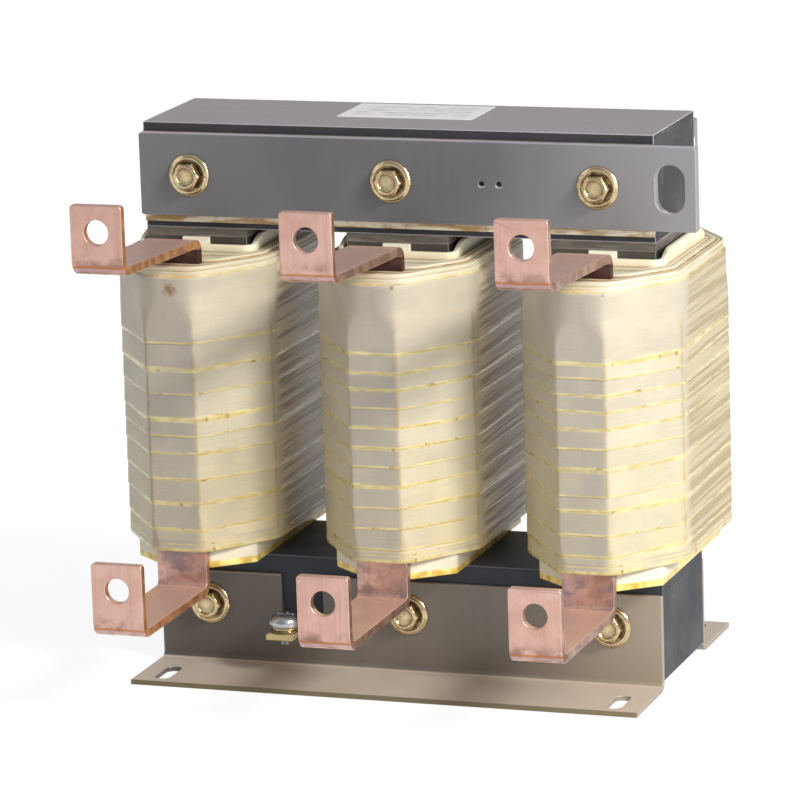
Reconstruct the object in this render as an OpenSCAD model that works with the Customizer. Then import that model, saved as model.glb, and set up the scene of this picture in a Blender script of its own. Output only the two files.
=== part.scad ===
// Three-phase iron-core motor reactor of open construction, standing on two slotted feet.
// X runs along the yokes, Y from the terminals to the back and Z up from the floor.
// The origin lies on the floor, midway between the two slots of the front foot.

/* [Core] */
// Distance between the centre lines of the legs
leg_pitch = 120; // [108:1:140]
// Width of each leg
leg_w = 60; // [50:1:64]
// Depth of the stack of laminations
stack_d = 80; // [60:1:110]
// Height of each leg between its two gap plates
leg_h = 180; // [150:1:230]
// Height of each yoke
yoke_h = 60; // [56:1:80]
// Thickness of the plates that fill the air gaps
gap_t = 4.5; // [2:0.5:8]
// Height of the bottom yoke above the floor
core_lift = 6; // [4:1:12]

/* [Clamp bars] */
// Height of the two upper clamp bars
clamp_h = 47; // [36:1:50]
// Thickness of the two upper clamp bars
clamp_t = 6; // [4:0.5:12]
// Drop of the clamp bars below the top of the core
clamp_drop = 5; // [0:1:8]
// Length of the front bar that stands out past the core
clamp_overhang = 26; // [24:1:50]
// Corner radius of the clamp bars
clamp_r = 1.5; // [0.5:0.5:5]
// Thickness of the insulating strips behind the clamp bars
strip_t = 2; // [1:0.5:4]
// Width of strip that shows below the clamp bar
strip_show = 4.5; // [2:0.5:7]
// Width of the lifting slot
lift_w = 16.5; // [10:0.5:18]
// Height of the lifting slot
lift_h = 27; // [20:0.5:32]
// Distance from the lifting slot's middle to the end of the bar
lift_edge = 15; // [11:0.5:15]
// Bore of the two small fixing holes in the front bar
tag_bore = 3; // [2:0.5:5]
// Distance between the two small fixing holes
tag_pitch = 10; // [7:1:20]
// Place of the two small fixing holes, from the middle leg
tag_x = 58; // [30:1:80]

/* [Feet] */
// Thickness of the bent sheet of the feet
sheet_t = 3; // [2:0.5:5]
// Inside radius of the bends in the feet
sheet_r = 3; // [1:0.5:5]
// Height of the upright of each foot
upright_h = 55; // [50:1:58]
// Reach of each foot out from the core
foot_reach = 55; // [48:1:80]
// Distance from a mounting slot's middle to the edge of the foot
slot_edge = 18; // [15:1:24]
// Distance between the mounting slots along the foot
slot_pitch = 268; // [240:1:272]
// Width of the mounting slots
slot_w = 9; // [6:0.5:12]
// Length of the mounting slots, end to end
slot_len = 25; // [16:1:28]

/* [Earth terminal] */
// Distance of the notch's left edge from the middle leg
notch_x = 76; // [70:1:90]
// Width of the notch in the front foot's upright
notch_w = 25; // [20:1:40]
// Width of the earth tab
tab_w = 16; // [14:1:19]
// Height of the earth tab's top face above the floor
tab_z = 27; // [24:1:32]
// Distance of the earth screw from the core
earth_y = 20; // [17:1:22]
// Thread diameter of the earth screw
earth_d = 6; // [4:0.5:8]
// Diameter of the earth screw's head
earth_head_d = 19; // [14:0.5:22]
// Height of the earth screw's head
earth_head_h = 6.5; // [4:0.5:9]
// Length of thread that shows below the tab
earth_tail = 5; // [2:0.5:9]
// Outer diameter of the earth washers
earth_washer_d = 17; // [13:0.5:20]
// Thickness of each earth washer
earth_washer_t = 1.8; // [1:0.2:2.6]

/* [Coils] */
// Width of a coil across the core window
coil_w = 93; // [89:1:100]
// Depth of a coil from front to back
coil_d = 180; // [170:1:210]
// Clear height between the bottom yoke and the coils
coil_lift = 12; // [10:1:16]
// Clear height between the coils and the top yoke
coil_head = 19; // [18:1:50]
// Width of the flat at the front and back of a coil
coil_flat = 29; // [20:1:40]
// Depth of the four bevelled faces of a coil
bevel_d = 42; // [25:1:50]
// Rounding of the coil's upright edges
coil_r = 4; // [2:0.5:8]
// Thickness of the taped jacket
jacket_t = 2; // [1.5:0.5:4]
// Width of tape that shows in each turn
tape_pitch = 11; // [8:0.5:20]
// Height of the plain band at the top of a coil
plain_h = 28; // [10:1:60]
// Height of one lap edge of the tape
tape_lap = 0.4; // [0.2:0.1:0.8]
// Height by which the resin body stands above its taped jacket
body_show = 5.5; // [2:0.5:6]
// Height of the last step round the former, above the resin body
collar_rise = 1.5; // [0.5:0.5:2]

/* [Coil former] */
// Wall of the insulating former round the leg
former_t = 3; // [2:0.5:4]
// Clear gap between the leg and the former
former_gap = 2.5; // [1:0.5:4]
// Outer corner radius of the former
former_r = 8; // [6:0.5:12]
// Height of the former above the coil at front and back
former_show = 10.5; // [9:0.5:12]
// Extra height of the former inside the core window
flap_rise = 4.5; // [1:0.5:5.5]
// Overhang of the former's bottom flange past its wall, towards the core window
flange_side = 0.5; // [0:0.5:3]
// Clear gap between the former's bottom flange and the lower bars
flange_gap = 2.5; // [1:0.5:8]
// Depth of the four bevelled faces of the former's bottom flange
flange_bevel = 18; // [8:1:24]
// Width of the wedge slats between leg and former
wedge_w = 16; // [10:1:30]
// Height of the wedge slats above the coil
wedge_show = 14; // [8:1:16]

/* [Terminals] */
// Width of the copper bars
bar_w = 30; // [20:1:34]
// Thickness of the copper bars
bar_t = 5; // [3:0.5:6]
// Bend radius at the middle of the bar's thickness
bar_r = 5.5; // [4.5:0.5:9]
// Corner radius of the bar ends
bar_end_r = 2; // [1:0.5:6]
// Bore of the connection holes
lug_bore = 14; // [9:0.5:16]
// Distance from a connection hole's middle to the bar's end
lug_edge = 15; // [11:1:20]
// Length of each bar held inside its coil
lead_depth = 30; // [15:1:50]
// Reach of the upper bars out from the core
upper_reach = 146; // [120:1:180]
// Reach of the lower bars out from the core
lower_reach = 140; // [120:1:180]
// Inset of the upper bars from the coil's front
upper_inset = 14; // [12:0.5:20]
// Inset of the lower bars from the coil's front
lower_inset = 6; // [5:0.5:12]
// Height of the upper bars' level run above the coil
upper_run = 14.5; // [12:0.5:20]
// Rise of the upper bars' level run towards the front
upper_rise = 5.5; // [0:0.5:12]
// Height of the upper bars' upright face
upper_face = 39; // [30:1:60]
// Depth of the lower bars' level run below the coil
lower_run = 26; // [16:0.5:40]
// Height of the lower bars' upright face
lower_face = 42; // [30:1:60]

/* [Clamp bolts] */
// Thread diameter of the clamp bolts
bolt_d = 8; // [6:0.5:10]
// Hexagon of the clamp bolts across its flats
bolt_af = 14; // [12:0.5:17]
// Height of the bolt heads
head_h = 5.3; // [4:0.1:8]
// Height of the nuts
nut_h = 6.5; // [4:0.1:9]
// Outer diameter of the clamp washers
washer_d = 24; // [18:0.5:28]
// Thickness of the clamp washers
washer_t = 2; // [1:0.2:3]
// Length of thread that shows past a nut
bolt_tail = 4; // [2:0.5:8]
// Height of the lower bolts above the floor
low_bolt_z = 36; // [30:1:40]

/* [Label] */
// Length of the label on the top yoke
label_w = 80; // [50:1:100]
// Width of the label on the top yoke
label_d = 43; // [25:1:50]
// Thickness of the label
label_t = 0.3; // [0.2:0.1:0.6]
// Distance of the label's middle left of the middle leg
label_x = 5; // [0:1:30]
// Distance of the label's back edge from the back of the core
label_edge = 5; // [2:1:9]

/* [Fits] */
// Clearance of the clamp bolts in their holes, on the diameter
bolt_gap = 1; // [0.4:0.1:2]
// Clearance of a thread in its nut, on the diameter
thread_gap = 0.1; // [0.05:0.05:0.2]
// Clearance of a washer on its bolt, on the diameter
washer_gap = 0.4; // [0.2:0.1:0.8]
// Clearance round the bars and windings inside a coil
lead_gap = 0.3; // [0.2:0.1:0.5]

/* [Hidden] */
$fn = 48;

// Steps of one rounded upright edge of a coil
coil_steps = 3;
// Steps of any other rounded corner or bend
arc_steps = 8;
// Length by which a cutter passes through the face that it opens
pass = 1;
// Share of the way from the jacket to the former at which the resin body and its last step begin
tier_starts = [0.1, 0.45];
// Share of the former's depth over which its window flaps keep their full height
flap_flat = 0.6;
// Steps in each sloping end of a window flap
flap_steps = 8;
// Height of the chamfer on hexagons as a share of their height
hex_chamfer = 0.2;
// Diameter of a hexagon's flat end as a share of its width across flats
hex_end = 0.94;
// Upright part of the earth screw's head as a share of its height
dome_rim = 0.35;
// Flat middle of the earth screw's head as a share of its radius
dome_flat = 0.55;
// Gap of the spring washer, as a share of its diameter
spring_split = 0.12;

core_l = 2 * leg_pitch + leg_w;
core_y = foot_reach + stack_d / 2 - slot_edge;
half_stack = stack_d / 2;
window_z = core_lift + yoke_h;
window_top = window_z + leg_h + 2 * gap_t;
core_top = window_top + yoke_h;
clamp_top = core_top - clamp_drop;
clamp_z = clamp_top - clamp_h / 2;
clamp_y = half_stack + strip_t + clamp_t / 2;
sides = [-1, 1];
leg_xs = [-leg_pitch, 0, leg_pitch];

coil_z = window_z + coil_lift;
coil_top = window_top - coil_head;
coil_h = coil_top - coil_z;
end_t = jacket_t;
former_x = leg_w / 2 + former_gap + former_t;
former_y = half_stack + former_gap + former_t;
former_top = coil_top + former_show;

upper_y = coil_d / 2 - upper_inset - bar_t / 2;
lower_y = coil_d / 2 - lower_inset - bar_t / 2;
upper_z = coil_top + upper_run + bar_t / 2;
lower_z = coil_z - lower_run + bar_t / 2;
upper_face_y = half_stack + upper_reach - bar_t / 2;
lower_face_y = half_stack + lower_reach - bar_t / 2;
flange_y = lower_y - bar_t / 2 - flange_gap;
upper_end = upper_z + upper_rise - bar_t / 2 + upper_face;
lower_end = lower_z - bar_t / 2 + lower_face;
tier_rises = [body_show, body_show + collar_rise];

upper_clamp_face = clamp_y + clamp_t / 2;
lower_clamp_face = half_stack + sheet_t;
notch_z = tab_z - sheet_t - sheet_r;
tab_reach = half_stack + sheet_t + upright_h - tab_z;
tab_x = -notch_x + tab_w / 2;
earth_z = tab_z + 2 * earth_washer_t;

function unit(v) = v / norm(v);

function left_of(a, b) = let (d = unit(b - a)) [-d.y, d.x];

// Points of the arc of radius r that rounds the corner b between a and c
function corner_arc(a, b, c, r, steps = arc_steps) =
    let (u = unit(a - b), w = unit(c - b), half = acos(u * w) / 2,
         centre = b + unit(u + w) * r / sin(half),
         start = b + u * r / tan(half) - centre, end = b + w * r / tan(half) - centre,
         turn = atan2(cross(start, end), start * end), first = atan2(start.y, start.x))
    [for (i = [0 : steps]) let (g = first + turn * i / steps) centre + r * [cos(g), sin(g)]];

// Closed outline with each corner rounded
function rounded(pts, r, steps = arc_steps) =
    let (n = len(pts))
    [for (i = [0 : n - 1]) each corner_arc(pts[(i + n - 1) % n], pts[i], pts[(i + 1) % n], r, steps)];

// Closed outline, drawn anticlockwise, moved outwards by g
function grown(pts, g) =
    let (n = len(pts)) [for (i = [0 : n - 1])
        let (p = left_of(pts[(i + n - 1) % n], pts[i]), q = left_of(pts[i], pts[(i + 1) % n]))
        pts[i] - g * (p + q) / (1 + p * q)];

// One edge of a bent strip whose middle line is pts
function bent_edge(pts, side, r) =
    let (last = len(pts) - 1, q = [for (i = [0 : last])
        let (p = left_of(pts[max(i - 1, 0)], pts[max(i, 1)]),
             s = left_of(pts[min(i, last - 1)], pts[min(i + 1, last)]))
        pts[i] + side * (p + s) / (1 + p * s)])
    concat([q[0]],
        [for (i = [1 : last - 1]) let (turn = sign(cross(pts[i] - pts[i - 1], pts[i + 1] - pts[i])))
            each corner_arc(q[i - 1], q[i], q[i + 1], r - side * turn)],
        [q[last]]);

// Section of a strip of thickness t, bent along pts with the middle radius r
function strip_outline(pts, t, r) =
    let (a = bent_edge(pts, t / 2, r), b = bent_edge(pts, -t / 2, r))
    concat(a, [for (i = [len(b) - 1 : -1 : 0]) b[i]]);

function rect_points(w, h) = [[-w, -h] / 2, [w, -h] / 2, [w, h] / 2, [-w, h] / 2];

// Corners of an eight-sided outline, with flats of half width fx at front and back and sides that end at by
function eight_points(hx, hy, fx, by) =
    [[hx, -by], [hx, by], [fx, hy], [-fx, hy], [-hx, by], [-hx, -by], [-fx, -hy], [fx, -hy]];

// Corners of a coil outline, share 0 at the jacket and 1 at the former
function coil_corners(share) =
    let (hx = coil_w / 2 + share * (former_x - coil_w / 2),
         hy = coil_d / 2 + share * (former_y - coil_d / 2),
         fx = coil_flat / 2 + share * (former_x - former_r - coil_flat / 2),
         by = hy - bevel_d - share * (former_r - bevel_d))
    eight_points(hx, hy, fx, by);

// Outline of the former, grown by g
function former_outline(g) = rounded(rect_points(2 * (former_x + g), 2 * (former_y + g)), former_r + g);

function coil_outline(share, g) = rounded(grown(coil_corners(share), g), coil_r, coil_steps);

module on_core() { translate([0, core_y, 0]) children(); }

module on_leg(x) { translate([x, core_y, 0]) children(); }

// Sideways extrusion of an outline drawn in the Y and Z directions
module along_x(length) { rotate([90, 0, 90]) linear_extrude(length, center = true) children(); }

// Extrusion towards the back of an outline drawn in the X and Z directions, centred on y
module along_y(y, length) {
    translate([0, y, 0]) rotate([90, 0, 0]) linear_extrude(length, center = true) children();
}

module bore_y(x, z, d, length) {
    translate([x, 0, z]) rotate([90, 0, 0]) cylinder(d = d, h = length, center = true);
}

module bolt_holes(z, d, length) { for (x = leg_xs) bore_y(x, z, d, length); }

module hexagon(af, h) {
    corner_d = af / cos(30);
    intersection() {
        cylinder(d = corner_d, h = h, $fn = 6);
        union() {
            cylinder(d = corner_d + pass, h = h * (1 - hex_chamfer));
            translate([0, 0, h * (1 - hex_chamfer)])
                cylinder(d1 = corner_d, d2 = af * hex_end, h = h * hex_chamfer);
        }
    }
}

// Core
module yoke(z, bolt_z) {
    color("#4b4a4f") on_core() difference() {
        translate([-core_l / 2, -half_stack, z]) cube([core_l, stack_d, yoke_h]);
        bolt_holes(bolt_z, bolt_d + bolt_gap, stack_d + 2 * pass);
    }
}

module leg(x) {
    color("#5a5656") on_leg(x) translate([-leg_w / 2, -half_stack, window_z + gap_t])
        cube([leg_w, stack_d, leg_h]);
}

module gap_plate(x, z) {
    color("#b9a96a") on_leg(x) translate([-leg_w / 2, -half_stack, z]) cube([leg_w, stack_d, gap_t]);
}

// Upper clamp bars and their insulation
module clamp_bar(side, overhang) {
    length = core_l + overhang;
    color("#85858a") on_core() difference() {
        translate([overhang / 2, 0, clamp_z]) along_y(side * clamp_y, clamp_t)
            polygon(rounded(rect_points(length, clamp_h), clamp_r));
        translate([0, side * clamp_y, 0]) bolt_holes(clamp_z, bolt_d + bolt_gap, clamp_t + 2 * pass);
        children();
    }
}

module lifting_slot() {
    x = core_l / 2 + clamp_overhang - lift_edge;
    translate([0, -clamp_y, 0]) {
        for (s = sides) bore_y(x, clamp_z + s * (lift_h - lift_w) / 2, lift_w, clamp_t + 2 * pass);
        translate([x, 0, clamp_z]) cube([lift_w, clamp_t + 2 * pass, lift_h - lift_w], center = true);
    }
}

module tag_holes() {
    for (s = sides) translate([0, -clamp_y, 0])
        bore_y(tag_x + s * tag_pitch / 2, clamp_z, tag_bore, clamp_t + 2 * pass);
}

module front_clamp_bar() {
    clamp_bar(-1, clamp_overhang) {
        lifting_slot();
        tag_holes();
    }
}

module insulating_strip(side) {
    h = clamp_h + strip_show;
    color("#e6dcae") on_core() difference() {
        translate([-core_l / 2, side * (half_stack + strip_t / 2) - strip_t / 2, clamp_top - h])
            cube([core_l, strip_t, h]);
        translate([0, side * half_stack, 0]) bolt_holes(clamp_z, bolt_d + bolt_gap, 2 * (strip_t + pass));
    }
}

// Feet of bent sheet, with slots that run from front to back
module foot(side) {
    middle = half_stack + sheet_t / 2;
    slot_y = side * (half_stack + foot_reach - slot_edge);
    difference() {
        along_x(core_l) polygon(strip_outline([
            [side * middle, upright_h], [side * middle, sheet_t / 2],
            [side * (half_stack + foot_reach), sheet_t / 2]], sheet_t, sheet_r + sheet_t / 2));
        translate([0, side * middle, 0]) bolt_holes(low_bolt_z, bolt_d + bolt_gap, sheet_t + 2 * pass);
        for (s = sides) translate([s * slot_pitch / 2, slot_y, 0]) {
            for (e = sides) translate([0, e * (slot_len - slot_w) / 2, -pass])
                cylinder(d = slot_w, h = sheet_t + 2 * pass);
            translate([0, 0, sheet_t / 2])
                cube([slot_w, slot_len - slot_w, sheet_t + 2 * pass], center = true);
        }
    }
}

module front_foot() {
    middle = half_stack + sheet_t / 2;
    color("#8f8479") on_core() difference() {
        union() {
            difference() {
                foot(-1);
                translate([-notch_x, -middle - sheet_t / 2 - pass, notch_z])
                    cube([notch_w, sheet_t + 2 * pass, upright_h - notch_z + pass]);
            }
            translate([tab_x, 0, 0]) along_x(tab_w) polygon(strip_outline([
                [-middle, notch_z - sheet_t], [-middle, tab_z - sheet_t / 2],
                [-tab_reach, tab_z - sheet_t / 2]], sheet_t, sheet_r + sheet_t / 2));
        }
        translate([tab_x, -half_stack - earth_y, tab_z - sheet_t - pass])
            cylinder(d = earth_d + thread_gap, h = sheet_t + 2 * pass);
    }
}

module rear_foot() {
    color("#8f8479") on_core() foot(1);
}

// Coil parts: a former with a bottom flange that rests on the yoke and carries the coil
module coil_former(x) {
    high = former_top + flap_rise;
    edge = former_y + pass;
    flat_y = former_y * flap_flat;
    slope = [for (i = [0 : flap_steps]) let (s = i / flap_steps)
        [flat_y + s * (former_y - former_t - flat_y), high - flap_rise * (1 - cos(180 * s)) / 2]];
    color("#e8dfb8") on_leg(x) difference() {
        union() {
            translate([0, 0, window_z]) linear_extrude(high - window_z) polygon(former_outline(0));
            translate([0, 0, window_z]) linear_extrude(coil_lift)
                polygon(eight_points(former_x + flange_side, flange_y, coil_flat / 2, flange_y - flange_bevel));
        }
        translate([0, 0, window_z - pass]) linear_extrude(high - window_z + 2 * pass)
            polygon(former_outline(-former_t));
        for (m = sides) along_x(2 * (former_x + pass))
            polygon(concat([for (p = slope) [m * p.x, p.y]],
                [[m * edge, former_top], [m * edge, high + pass], [m * flat_y, high + pass]]));
    }
}

module leg_wedges(x) {
    z = coil_z;
    color("#efe9d2") on_leg(x) for (s = sides)
        translate([-wedge_w / 2, s * (half_stack + former_gap / 2) - former_gap / 2, z])
            cube([wedge_w, former_gap, coil_top + wedge_show - z]);
}

module lead_room(y, z0, z1) {
    translate([-bar_w / 2 - lead_gap, -y - bar_t / 2 - lead_gap, z0])
        cube([bar_w + 2 * lead_gap, bar_t + 2 * lead_gap, z1 - z0]);
}

module lead_rooms() {
    lead_room(upper_y, coil_top - lead_depth, coil_top + upper_run);
    lead_room(lower_y, coil_z - coil_lift, coil_z + lead_depth);
}

module winding(x) {
    z = coil_z + end_t;
    h = coil_h - 2 * end_t - lead_gap;
    color("#b5714a") on_leg(x) difference() {
        translate([0, 0, z]) linear_extrude(h) polygon(coil_outline(0, -jacket_t - lead_gap));
        translate([0, 0, z - pass]) linear_extrude(h + 2 * pass) polygon(former_outline(lead_gap));
        lead_rooms();
    }
}

// Taped jacket: a plain band over raised turns of tape, a stepped top, and room for the winding inside
module coil_jacket(x) {
    color("#ddd2a6") on_leg(x) difference() {
        union() {
            translate([0, 0, coil_z]) linear_extrude(coil_h) polygon(coil_outline(0, -tape_lap));
            for (z = [coil_z : 2 * tape_pitch : coil_top - plain_h - tape_pitch / 2])
                translate([0, 0, z]) linear_extrude(tape_pitch) polygon(coil_outline(0, 0));
            translate([0, 0, coil_top - plain_h]) linear_extrude(plain_h) polygon(coil_outline(0, 0));
            for (k = [0 : len(tier_starts) - 1]) translate([0, 0, coil_z])
                linear_extrude(coil_h + tier_rises[k]) polygon(coil_outline(tier_starts[k], 0));
        }
        translate([0, 0, coil_z - coil_lift]) linear_extrude(coil_h + 2 * coil_lift)
            polygon(former_outline(0));
        translate([0, 0, coil_z + end_t]) linear_extrude(coil_h - 2 * end_t)
            polygon(coil_outline(0, -jacket_t));
        lead_rooms();
    }
}

// What is cut from a bar's end corner, on the side s, to round it
module end_corner(s, z) {
    size = bar_end_r + pass;
    translate([s * (bar_w / 2 - bar_end_r), 0, z - bar_end_r]) difference() {
        translate([s * size / 2, 0, size / 2]) cube([size, bar_t + 2 * pass, size], center = true);
        bore_y(0, 0, 2 * bar_end_r, bar_t + 4 * pass);
    }
}

// Terminals: flat copper bar, bent forward out of the coil and up again, with a hole in its face
module terminal(x, line, end_z) {
    color("#c8927c") on_leg(x) difference() {
        along_x(bar_w) polygon(strip_outline(line, bar_t, bar_r));
        translate([0, line[len(line) - 1].x, 0]) {
            bore_y(0, end_z - lug_edge, lug_bore, bar_t + 2 * pass);
            for (s = sides) end_corner(s, end_z);
        }
    }
}

module upper_terminal(x) {
    terminal(x, [[-upper_y, coil_top - lead_depth], [-upper_y, upper_z],
        [-upper_face_y, upper_z + upper_rise], [-upper_face_y, upper_end]], upper_end);
}

module lower_terminal(x) {
    terminal(x, [[-lower_y, coil_z + lead_depth], [-lower_y, lower_z],
        [-lower_face_y, lower_z], [-lower_face_y, lower_end]], lower_end);
}

// Clamp bolts, washers and nuts, where face is the distance of the clamped faces from the core's middle
module clamp_bolts(z, face) {
    head_y = face + washer_t;
    tail_y = face + washer_t + nut_h + bolt_tail;
    color("#c9a550") on_core() for (x = leg_xs) translate([x, 0, z]) {
        translate([0, -head_y, 0]) rotate([90, 0, 0]) hexagon(bolt_af, head_h);
        translate([0, tail_y, 0]) rotate([90, 0, 0]) cylinder(d = bolt_d, h = head_y + tail_y);
    }
}

module clamp_washers(z, face) {
    color("#c4a154") on_core() for (x = leg_xs, s = sides) difference() {
        translate([0, s * (face + washer_t / 2), 0]) bore_y(x, z, washer_d, washer_t);
        translate([0, s * face, 0]) bore_y(x, z, bolt_d + washer_gap, 2 * (washer_t + pass));
    }
}

module clamp_nuts(z, face) {
    color("#c9a550") on_core() for (x = leg_xs) translate([x, face + washer_t, z]) difference() {
        rotate([-90, 0, 0]) hexagon(bolt_af, nut_h);
        rotate([90, 0, 0]) cylinder(d = bolt_d + thread_gap, h = 2 * (nut_h + pass), center = true);
    }
}

// Earth terminal
module on_earth_screw(z) { on_core() translate([tab_x, -half_stack - earth_y, z]) children(); }

module earth_screw() {
    tail = earth_z - tab_z + sheet_t + earth_tail;
    thread_r = earth_d / 2;
    tip = thread_r / 3;
    dome = [for (i = [0 : arc_steps]) let (a = 90 * i / arc_steps)
        [earth_head_d / 2 * (dome_flat + (1 - dome_flat) * cos(a)),
         earth_head_h * (dome_rim + (1 - dome_rim) * sin(a))]];
    color("#c9ccd2") on_earth_screw(earth_z) rotate_extrude()
        polygon(concat([[0, -tail], [thread_r - tip, -tail], [thread_r, -tail + tip], [thread_r, 0],
            [earth_head_d / 2, 0]], dome, [[0, earth_head_h]]));
}

module earth_washer(z, d) {
    on_earth_screw(z) difference() {
        cylinder(d = d, h = earth_washer_t);
        translate([0, 0, -pass]) cylinder(d = earth_d + washer_gap, h = earth_washer_t + 2 * pass);
        children();
    }
}

module earth_flat_washer() { color("#cfae5a") earth_washer(tab_z, earth_washer_d); }

module earth_spring_washer() {
    gap = earth_washer_d * spring_split;
    color("#cfae5a") earth_washer(tab_z + earth_washer_t, earth_washer_d - earth_washer_t)
        translate([-earth_washer_d, -gap / 2, -pass]) cube([earth_washer_d, gap, earth_washer_t + 2 * pass]);
}

module blank_label() {
    color("#f4f4f2") on_core() translate([-label_x - label_w / 2, half_stack - label_edge - label_d, 0])
        translate([0, 0, core_top]) cube([label_w, label_d, label_t]);
}

yoke(core_lift, low_bolt_z);  // bottom_yoke
yoke(window_top, clamp_z);  // top_yoke
leg(-leg_pitch);  // leg_left
leg(0);  // leg_middle
leg(leg_pitch);  // leg_right
gap_plate(-leg_pitch, window_z);  // lower_gap_plate_left
gap_plate(0, window_z);  // lower_gap_plate_middle
gap_plate(leg_pitch, window_z);  // lower_gap_plate_right
gap_plate(-leg_pitch, window_top - gap_t);  // upper_gap_plate_left
gap_plate(0, window_top - gap_t);  // upper_gap_plate_middle
gap_plate(leg_pitch, window_top - gap_t);  // upper_gap_plate_right
front_clamp_bar();
clamp_bar(1, 0);  // rear_clamp_bar
insulating_strip(-1);  // front_insulating_strip
insulating_strip(1);  // rear_insulating_strip
front_foot();
rear_foot();
coil_former(-leg_pitch);  // coil_former_left
coil_former(0);  // coil_former_middle
coil_former(leg_pitch);  // coil_former_right
leg_wedges(-leg_pitch);  // leg_wedges_left
leg_wedges(0);  // leg_wedges_middle
leg_wedges(leg_pitch);  // leg_wedges_right
winding(-leg_pitch);  // winding_left
winding(0);  // winding_middle
winding(leg_pitch);  // winding_right
coil_jacket(-leg_pitch);  // coil_jacket_left
coil_jacket(0);  // coil_jacket_middle
coil_jacket(leg_pitch);  // coil_jacket_right
upper_terminal(-leg_pitch);  // upper_terminal_left
upper_terminal(0);  // upper_terminal_middle
upper_terminal(leg_pitch);  // upper_terminal_right
lower_terminal(-leg_pitch);  // lower_terminal_left
lower_terminal(0);  // lower_terminal_middle
lower_terminal(leg_pitch);  // lower_terminal_right
clamp_bolts(clamp_z, upper_clamp_face);  // upper_clamp_bolts
clamp_washers(clamp_z, upper_clamp_face);  // upper_clamp_washers
clamp_nuts(clamp_z, upper_clamp_face);  // upper_clamp_nuts
clamp_bolts(low_bolt_z, lower_clamp_face);  // lower_clamp_bolts
clamp_washers(low_bolt_z, lower_clamp_face);  // lower_clamp_washers
clamp_nuts(low_bolt_z, lower_clamp_face);  // lower_clamp_nuts
earth_screw();
earth_spring_washer();
earth_flat_washer();
blank_label();
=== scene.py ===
"""Looks of an open three-phase motor reactor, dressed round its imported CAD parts.

The scene is in metres: X along the yokes, Y from the terminals to the back, Z up, and the origin
on the floor between the two slots of the front foot. Sizes named in millimetres are scaled by MM.
"""

import math

import bmesh
import bpy
import numpy as np
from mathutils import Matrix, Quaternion, Vector


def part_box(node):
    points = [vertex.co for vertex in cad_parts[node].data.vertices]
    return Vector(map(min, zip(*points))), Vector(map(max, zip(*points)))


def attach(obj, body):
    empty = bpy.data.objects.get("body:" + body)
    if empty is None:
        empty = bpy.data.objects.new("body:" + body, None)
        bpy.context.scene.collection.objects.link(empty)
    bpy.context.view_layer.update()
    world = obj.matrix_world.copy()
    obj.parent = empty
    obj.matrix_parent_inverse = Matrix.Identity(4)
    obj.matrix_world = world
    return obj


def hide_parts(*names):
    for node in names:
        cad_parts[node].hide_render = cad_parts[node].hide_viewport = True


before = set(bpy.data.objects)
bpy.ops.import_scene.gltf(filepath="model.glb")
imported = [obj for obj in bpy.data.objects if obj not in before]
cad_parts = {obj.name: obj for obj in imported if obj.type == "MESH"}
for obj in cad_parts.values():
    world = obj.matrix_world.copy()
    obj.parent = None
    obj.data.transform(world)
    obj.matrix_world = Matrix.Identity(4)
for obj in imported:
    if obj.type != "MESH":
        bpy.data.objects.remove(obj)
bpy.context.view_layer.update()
MM = 0.001

# Core: two yokes and three legs of stacked electrical steel sheets under a dark varnish. The sheets
# stand on edge along X, so their edges show on the top and at the ends, and the outermost sheet is
# the front face. The legs are bare of varnish where the coils slide over them and look warmer.
LEGS = {"left": -0.120, "middle": 0.0, "right": 0.120}
SHEET = 0.5 * MM
# Near black painted shade for faces that face X: the ends of the yokes and the sides of the legs.
SHADED_END = (0.016, 0.016, 0.02)


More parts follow.
